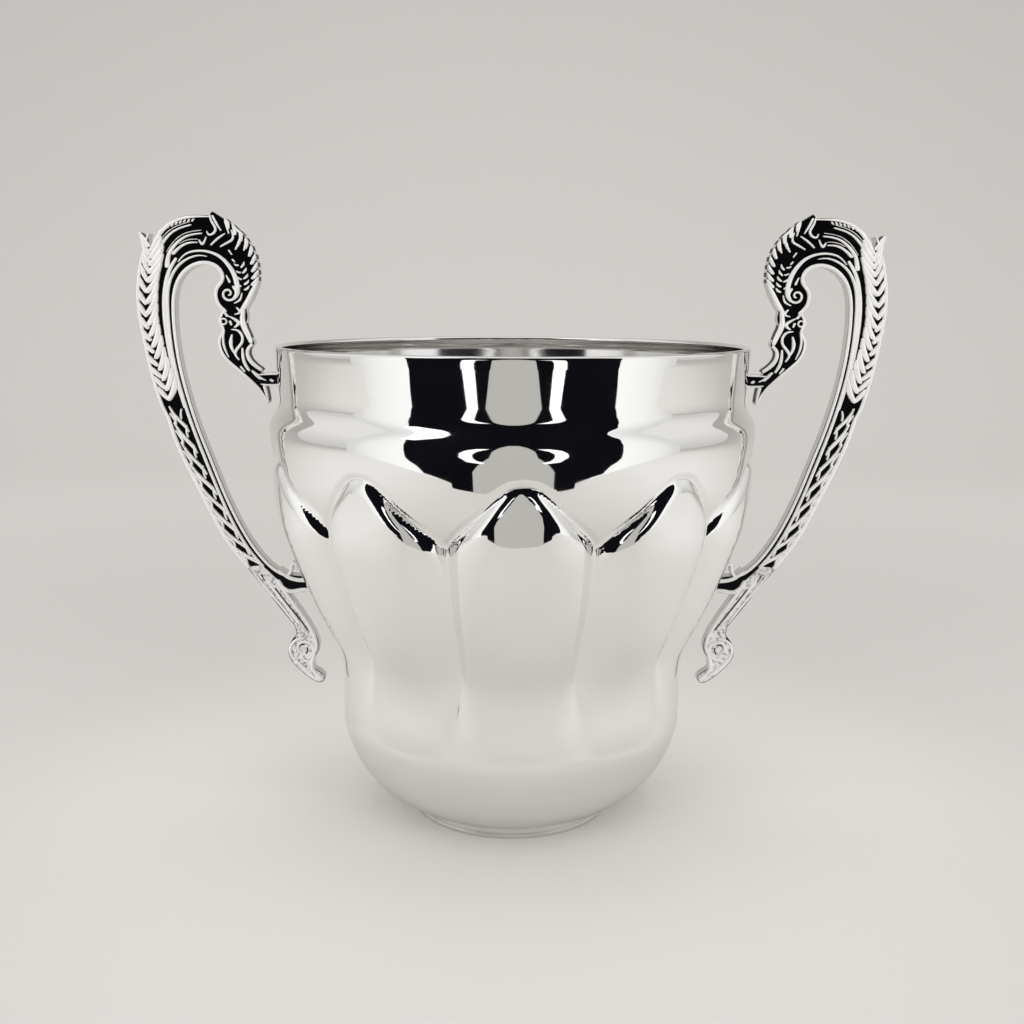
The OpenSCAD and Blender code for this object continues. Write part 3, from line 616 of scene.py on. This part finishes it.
raise_rib(spiral((83.4, 63), 5, 5, 95, -40, 10) + [(83.6, 56.2), (79.8, 52.6)], [0.8, 1.2, 1.2, 1.0],
          rib_half - 0.2, RIM, 2)
for scored in ([(93.6, 88.4), (89.3, 82.5), (85.1, 77), (81.4, 71.8)], [(95.2, 85.4), (91.2, 80), (87.2, 74.8)],
               [(98.8, 93.8), (97.4, 91.6)],
               spiral((83.4, 63.4), 1.9, 2.1, 30, 110, 5), spiral((83.4, 63.4), 1.9, 2.1, 160, 230, 5),
               [(86.2, 68.2), (87.6, 66.4)], [(87.5, 60.6), (86.6, 58.8)], [(84.2, 56.8), (81.8, 54.8)]):
    raise_rib(scored, [0.5, 0.5], ground_half + 0.5, GROUND, 3)


def axes(tree, space="Object"):
    """How far a point lies along X, Y and Z: on the piece in metres, or in the sky as a direction."""
    place = tree.nodes.new("ShaderNodeTexCoord")
    parts = tree.nodes.new("ShaderNodeSeparateXYZ")
    link(tree, place.outputs[space], parts.inputs["Vector"])
    return parts.outputs


def worked_out(tree, operation, *values):
    """A number worked out from others, each a node's output or a plain number."""
    step = tree.nodes.new("ShaderNodeMath")
    step.operation = operation
    for k, value in enumerate(values):
        if isinstance(value, (int, float)):
            step.inputs[k].default_value = value
        else:
            link(tree, value, step.inputs[k])
    return step.outputs[0]


# the dark of the handles: oxide on the ground, and painted shade at the feet of the ribs
oxide_and_painted_shade = (0.012, 0.012, 0.014)
ragged_edge = 0.00025


def cast_silver(name, recess, crown_level, bright, shine):
    """Cast and plated metal: frosted and bright where it stands up, dark nearer the handles' plane, with oxide on the
    ground and painted shade at the feet of the ribs.
    """
    finish, tree, shader = metal(name)
    shader.inputs["Metallic"].default_value = shine
    rough = between(tree, noise(tree, 900, 2), 0.3, 0.7, -ragged_edge, ragged_edge)
    standing = worked_out(tree, "ADD", worked_out(tree, "ABSOLUTE", axes(tree)["Y"]), rough)
    # painted shade and oxide: darker nearer the handles' plane, oxide on the ground and shade at the feet of the ribs
    worn = between(tree, standing, recess, crown_level, 0, 1)
    link(tree, ramp(tree, worn, 0.0, 1.0, oxide_and_painted_shade, bright), shader.inputs["Base Color"])
    link(tree, between(tree, worn, 0, 1, 0.45, 0.24), shader.inputs["Roughness"])
    bumped(tree, shader, noise(tree, 700, 3), 0.00008)
    return finish


# each finish starts to clear at one distance from the handles' plane and is bright at the next: the ground never
# reaches it and stays dark with oxide, the ribs do near their tops and are painted with shade at their feet, and the
# rims and edges are past it everywhere
frosted = (0.97, 0.965, 0.95)
handle_finishes = [cast_silver("handle_ground", 0.0060, 0.0070, (0.2, 0.2, 0.2), 1.0),
                   cast_silver("handle_polished", 0.0022, 0.0026, frosted, 0.28),
                   cast_silver("handle_rim", -0.0020, -0.0010, frosted, 0.28),
                   cast_silver("handle_edge", -0.0020, -0.0010, (0.70, 0.695, 0.68), 0.8)]
for side, name in ((1, "right_handle"), (-1, "left_handle")):
    points = [(side * x, side * y, z) for x, y, z in casting["points"]]
    blank_mesh(name + "_casting", points, casting["faces"], handle_finishes, "handle", name, casting["finish"])

# ---------------------------------------------------------------------------------------------------------------------
# The fixings: four slotted cheese-head screws of 3 mm, each with a flat washer, nickel-plated steel. They go through
# the wall from inside the bowl into the blind holes of the lugs, two to a handle.
shank_radius = 1.5
head_radius = 2.8
head_height = 2.1
slot_half = 0.4
slot_depth = 0.9
washer_radius = 3.5
washer_thick = 0.6
bite = 6
thread_step = 0.25
thread_depth = 0.18
screw_sides = 48
washer_sides = 64
upper_height = 170.8


def fixing_place(x, z, lean, side):
    """The axis of a fixing: from the outside of the wall at (x, z), pointing out and down by a lean in degrees."""
    return (Matrix.Rotation(0 if side > 0 else math.pi, 4, "Z") @ Matrix.Translation((x, 0, z))
            @ Matrix.Rotation(math.radians(90 + lean), 4, "Y"))


def screw_mesh(inset):
    """A cheese-head screw along Z: its slot is cut across the head, and its shank is scored with thread."""
    under = -inset - washer_thick
    top, flat = under - head_height, head_radius - 1.3
    rows = [(shank_radius - 0.25, bite)]
    for k in range(int((bite - under - 0.5) / thread_step)):
        rows.append((shank_radius - (thread_depth if k % 2 else 0.0), bite - thread_step * (k + 1)))
    rows += [(shank_radius, under), (head_radius, under), (head_radius, under - head_height * 0.55),
             (head_radius - 0.25, under - head_height * 0.75), (head_radius - 0.6, under - head_height * 0.85),
             (flat, top)]
    points, faces, around = [], [], screw_sides
    for r, z in rows:
        for a in (math.tau * i / around for i in range(around)):
            points.append((r * math.cos(a), r * math.sin(a), z))
    for j in range(len(rows) - 1):
        for i in range(around):
            k = (i + 1) % around
            faces.append((j * around + i, (j + 1) * around + i, (j + 1) * around + k, j * around + k))
    faces.append(tuple(range(around)))
    last = (len(rows) - 1) * around
    # the flat top stands as two segments with the slot between them
    first = len(points)
    run = math.sqrt(flat * flat - slot_half * slot_half)
    floor = top + slot_depth
    for y in (-slot_half, slot_half):
        for z in (top, floor):
            points += [(-run, y, z), (run, y, z)]
    low, high = [], []
    for i in range(around):
        across = flat * math.sin(math.tau * i / around)
        if across > slot_half:
            high.append(last + i)
        elif across < -slot_half:
            low.append(last + i)
    faces.append(tuple([first + 5] + high + [first + 4])[::-1])
    faces.append(tuple([first] + low + [first + 1])[::-1])
    faces += [(first, first + 1, first + 3, first + 2), (first + 4, first + 6, first + 7, first + 5),
              (first + 2, first + 3, first + 7, first + 6)]
    return points, faces


def washer_mesh(inset):
    """A stamped flat washer: its edges are eased on one face and sharp on the other."""
    out, bore, under = washer_radius, shank_radius + 0.1, -inset - washer_thick
    profile = [(bore, under + 0.05), (bore + 0.05, under), (out - 0.15, under), (out - 0.04, under + 0.05),
               (out, under + 0.15), (out, under + washer_thick), (bore, under + washer_thick)]
    return turned(profile, washer_sides)


def nickel(name):
    """Nickel-plated steel: warm grey, with the fine scratches of a tumbled batch."""
    finish, tree, shader = metal(name)
    link(tree, ramp(tree, noise(tree, 500, 3), 0.35, 0.65, (0.60, 0.59, 0.56), (0.74, 0.73, 0.70)),
         shader.inputs["Base Color"])
    link(tree, between(tree, noise(tree, 900, 4), 0.3, 0.7, 0.18, 0.35), shader.inputs["Roughness"])
    bumped(tree, shader, noise(tree, 1200, 3, (1, 1, 0.2)), 0.00001)
    return finish


screw_nickel, washer_nickel = nickel("screw_nickel"), nickel("washer_nickel")
collar_foot = neck[1] + 1.2
collar_lean = math.degrees(math.atan((collar_radius - neck[0]) / (collar_top - collar_foot)))
collar_sag = collar_radius - math.sqrt(collar_radius**2 - washer_radius**2) + 0.02
upper_radius = neck[0] + (upper_height - collar_foot) * math.tan(math.radians(collar_lean))
upper_place = (upper_radius, upper_height, collar_lean)
for side, hand in ((1, "right"), (-1, "left")):
    for level, place, inset in (("upper", upper_place, wall + collar_sag), ("lower", lower_seat, wall)):
        at = fixing_place(*place, side)
        for kind, mesh_of, finish in (("screw", screw_mesh, screw_nickel), ("washer", washer_mesh, washer_nickel)):
            local, faces = mesh_of(inset)
            points = [tuple(at @ Vector(p)) for p in local]
            blank_mesh(f"{hand}_{level}_{kind}_turned", points, faces, [finish], kind, f"{hand}_{level}_{kind}")

# ---------------------------------------------------------------------------------------------------------------------
# The stage: a sheet of pale paper laid on the table and swept up into a backdrop, as in a small product studio. Its
# colour has painted light and shade where the camera, and partly mirrors, see it: lighter near the cup, over the cup's
# contact shadow, and darker further off. It lights the cup as an even pale grey.
sheet_half = 4.0
sheet_front = -3.0
bend_from = 0.9
bend_radius = 1.1
sheet_top = 4.0
paper_lighting = (0.60, 0.584, 0.568)
# painted light and shade in the paper's colour: near the cup, a quarter metre off and far off; mirrors see a share
paper_painted_light_near, paper_painted_shade_middle, paper_painted_light_far = (0.94, 0.92, 0.895), (0.54, 0.526, 0.512), (0.72, 0.702, 0.685)
painted_light_mirrored_share = 0.4


def paper_finish():
    """Matt paper with painted light and shade to the eye, and partly to mirrors, by the distance from the cup."""
    paper = bpy.data.materials.new("studio_paper_painted_light")
    paper.use_nodes = True
    tree = paper.node_tree
    shader = tree.nodes["Principled BSDF"]
    shader.inputs["Roughness"].default_value = 0.9
    shader.inputs["Specular IOR Level"].default_value = 0.1
    place = tree.nodes.new("ShaderNodeTexCoord")
    spot = tree.nodes.new("ShaderNodeVectorMath")
    spot.operation = "LENGTH"
    link(tree, place.outputs["Object"], spot.inputs[0])
    distance = between(tree, spot.outputs["Value"], 0.04, 0.84, 0, 1)
    path = tree.nodes.new("ShaderNodeLightPath")
    # mirrors see part of the painted light, so the lower bowl reflects the paper lightened over the contact shadow
    seen = worked_out(tree, "MULTIPLY_ADD", path.outputs["Is Glossy Ray"], painted_light_mirrored_share,
                      path.outputs["Is Camera Ray"])
    tone = tree.nodes.new("ShaderNodeMix")
    tone.data_type = "RGBA"
    tone.inputs["A"].default_value = (*paper_lighting, 1)
    # painted tone: lightest at the cup over its contact shadow, darkest a quarter metre off, lighter again far off
    link(tree, ramp(tree, distance, 0.0, 1.0, paper_painted_light_near, paper_painted_light_far, (0.26, paper_painted_shade_middle)), tone.inputs["B"])
    link(tree, seen, tone.inputs["Factor"])
    link(tree, tone.outputs["Result"], shader.inputs["Base Color"])
    return paper


def staged(name, points, faces, finish):
    """A piece of the studio, from points in metres."""
    mesh = bpy.data.meshes.new(name)
    mesh.from_pydata(points, [], faces)
    mesh.materials.append(finish)
    thing = bpy.data.objects.new(name, mesh)
    bpy.context.scene.collection.objects.link(thing)
    return thing


sweep = [(sheet_front, 0.0), (bend_from, 0.0)]
for a in (math.radians(degrees) for degrees in range(6, 91, 6)):
    sweep.append((bend_from + bend_radius * math.sin(a), bend_radius - bend_radius * math.cos(a)))
sweep.append((bend_from + bend_radius, sheet_top))
n = len(sweep)
sheet = staged("paper_sheet", [(x, y, z) for x in (-sheet_half, sheet_half) for y, z in sweep],
               [(k, n + k, n + k + 1, k + 1) for k in range(n - 1)], paper_finish())
sheet.data.polygons.foreach_set("use_smooth", [True] * (n - 1))

# ---------------------------------------------------------------------------------------------------------------------
# The cards: boards and lit sheets round the camera that only shiny surfaces see. They stand in for the dark board,
# the grey dome, the two white strips and the lit room that the real silver mirrors. Outlines are in metres.
board_y, dome_y, strip_y, glow_y = -0.32, -0.316, -0.315, -0.33
white = (1, 1, 1)
board_black = (0.004, 0.004, 0.006)
dome_grey = (0.50, 0.49, 0.47)
lamp_strength = 1.3
board_half = [(0.145, -0.01), (0.15, 0.008), (0.24, 0.01), (0.262, 0.035), (0.29, 0.06), (0.304, 0.09), (0.308, 0.16),
              (0.318, 0.24), (0.36, 0.4), (0.42, 0.56), (0.42, 0.9)]
dome_half = [(0.092, -0.01), (0.09, 0.046), (0.05, 0.13), (0.044, 0.2), (0.03, 0.26), (0.012, 0.3)]
lamp_outline = [(-0.46, 0.54), (-0.33, 0.46), (-0.23, 0.52), (-0.2, 0.7), (-0.22, 0.95), (-0.32, 1.15), (-0.46, 1.15)]
strip_outline = [(0.066, 0.085), (0.1, 0.095), (0.118, 0.13), (0.117, 0.17), (0.104, 0.21), (0.078, 0.238),
                 (0.05, 0.238), (0.075, 0.2), (0.086, 0.165), (0.086, 0.13), (0.078, 0.105), (0.06, 0.092)]
glow_outline = [(0.2, -0.01), (1.5, -0.01), (1.5, 1.3), (0.2, 1.3)]
glow_far, glow_near = 0.72, 0.30
table_outline = [(-1.6, -1.4), (1.6, -1.4), (1.6, 0.8), (-1.6, 0.8)]
table_white = (1, 0.985, 0.965)
table_strength = 0.84


def card(name, corners, colour, strength):
    """A flat lit or dark card that the camera doesn't see and that lights nothing but shiny surfaces."""
    glow = bpy.data.materials.new(name)
    glow.use_nodes = True
    tree = glow.node_tree
    tree.nodes.remove(tree.nodes["Principled BSDF"])
    lamp = tree.nodes.new("ShaderNodeEmission")
    lamp.inputs["Color"].default_value = (*colour, 1)
    lamp.inputs["Strength"].default_value = strength
    link(tree, lamp.outputs["Emission"], tree.nodes["Material Output"].inputs["Surface"])
    board = staged(name, corners, [tuple(range(len(corners)))], glow)
    for sight in ("camera", "diffuse", "shadow", "transmission", "volume_scatter"):
        setattr(board, "visible_" + sight, False)
    return tree, lamp


def mirrored_outline(half):
    """A closed outline symmetric about the middle, from its right-hand half [(x, z)]."""
    return half + [(-x, z) for x, z in reversed(half)]


card("front_black", [(x, board_y, z) for x, z in mirrored_outline(board_half)], board_black, 1)
card("front_grey", [(x, dome_y, z) for x, z in mirrored_outline(dome_half)], dome_grey, 1)
card("front_lamp_left", [(x, dome_y, z) for x, z in lamp_outline], white, lamp_strength)
for side, hand in ((-1, "left"), (1, "right")):
    card("front_strip_" + hand, [(side * x, strip_y, z) for x, z in strip_outline], white, lamp_strength)

# a lit white sheet on either side of the black board, brightest at the board and fading up and out into the room
for side, hand in ((-1, "left"), (1, "right")):
    tree, lamp = card("front_glow_" + hand, [(side * x, glow_y, z) for x, z in glow_outline], white, 1)
    reach = axes(tree)
    out = between(tree, reach["X"], side * 0.31, side * 1.1, glow_near, 0)
    up = between(tree, reach["Z"], 0.45, 1.25, 1, 0)
    link(tree, worked_out(tree, "MULTIPLY_ADD", out, up, glow_far), lamp.inputs["Strength"])

# the brighter patches of table to the left and right, clear in the middle and fading out all round
tree, lamp = card("table_glow", [(x, y, 0.0004) for x, y in table_outline], table_white, table_strength)
reach = axes(tree)
across, away = worked_out(tree, "ABSOLUTE", reach["X"]), reach["Y"]
share = between(tree, across, 0.10, 0.36, 0, 1)
for value, low, high, start, end in ((across, 0.45, 1.4, 1, 0), (away, -0.05, 0.5, 1, 0), (away, -1.3, -0.5, 0, 1)):
    share = worked_out(tree, "MULTIPLY", share, between(tree, value, low, high, start, end))
clear = tree.nodes.new("ShaderNodeBsdfTransparent")
mix = tree.nodes.new("ShaderNodeMixShader")
link(tree, share, mix.inputs["Fac"])
link(tree, clear.outputs["BSDF"], mix.inputs[1])
link(tree, lamp.outputs["Emission"], mix.inputs[2])
link(tree, mix.outputs["Shader"], tree.nodes["Material Output"].inputs["Surface"])

# ---------------------------------------------------------------------------------------------------------------------
# The light: two square soft boxes low at the front corners and one overhead, in a pale room that is brighter above.
# Shiny surfaces don't see the boxes, only what they light.
world = bpy.data.worlds.new("pale_room")
bpy.context.scene.world = world
world.use_nodes = True
tree = world.node_tree
sky = tree.nodes["Background"]
sky.inputs["Color"].default_value = (1.0, 0.985, 0.97, 1)
link(tree, between(tree, axes(tree, "Generated")["Z"], 0.0, 0.5, 0.60, 0.80), sky.inputs["Strength"])
cup_middle = (0, 0, 0.06)


def soft_box(name, place, aim, across, power):
    """A square lamp of so many metres across and so many watts, turned to what it lights."""
    lamp = bpy.data.lights.new(name, "AREA")
    lamp.shape = "RECTANGLE"
    lamp.size = lamp.size_y = across
    lamp.energy = power
    box = bpy.data.objects.new(name, lamp)
    box.location = place
    box.rotation_euler = (Vector(aim) - Vector(place)).to_track_quat("-Z", "Y").to_euler()
    box.visible_camera = False
    box.visible_glossy = False
    bpy.context.scene.collection.objects.link(box)


soft_box("soft_box_left", (-1.0, -1.2, 0.55), cup_middle, 0.9, 6.4)
soft_box("soft_box_right", (1.0, -1.2, 0.55), cup_middle, 0.9, 6.2)
soft_box("soft_box_over", (0, 0.3, 1.6), (0, 0.1, 0.1), 1.2, 7.5)

# ---------------------------------------------------------------------------------------------------------------------
# The camera: at the photograph's angle, a little above the lip and 0.46 m off, looking down by ten degrees. The
# place, the view angle and the small turns come from the ellipses of lip and foot in the photograph.
camera_place = (-0.00404, -0.46348, 0.20359)
view_angle = math.radians(46.356)
heading, down, roll = math.radians(-0.5), 0.1806, 0.0045
lens = bpy.data.cameras.new("camera")
lens.sensor_width = 36
lens.lens = lens.sensor_width / 2 / math.tan(view_angle / 2)
camera = bpy.data.objects.new("camera", lens)
camera.matrix_world = (
    Matrix.Translation(camera_place)
    @ Matrix.Rotation(heading, 4, "Z")
    @ Matrix.Rotation(math.pi / 2 - down, 4, "X")
    @ Matrix.Rotation(roll, 4, "Z")
)
bpy.context.scene.collection.objects.link(camera)
bpy.context.scene.camera = camera
bpy.context.scene.view_settings.view_transform = "Standard"
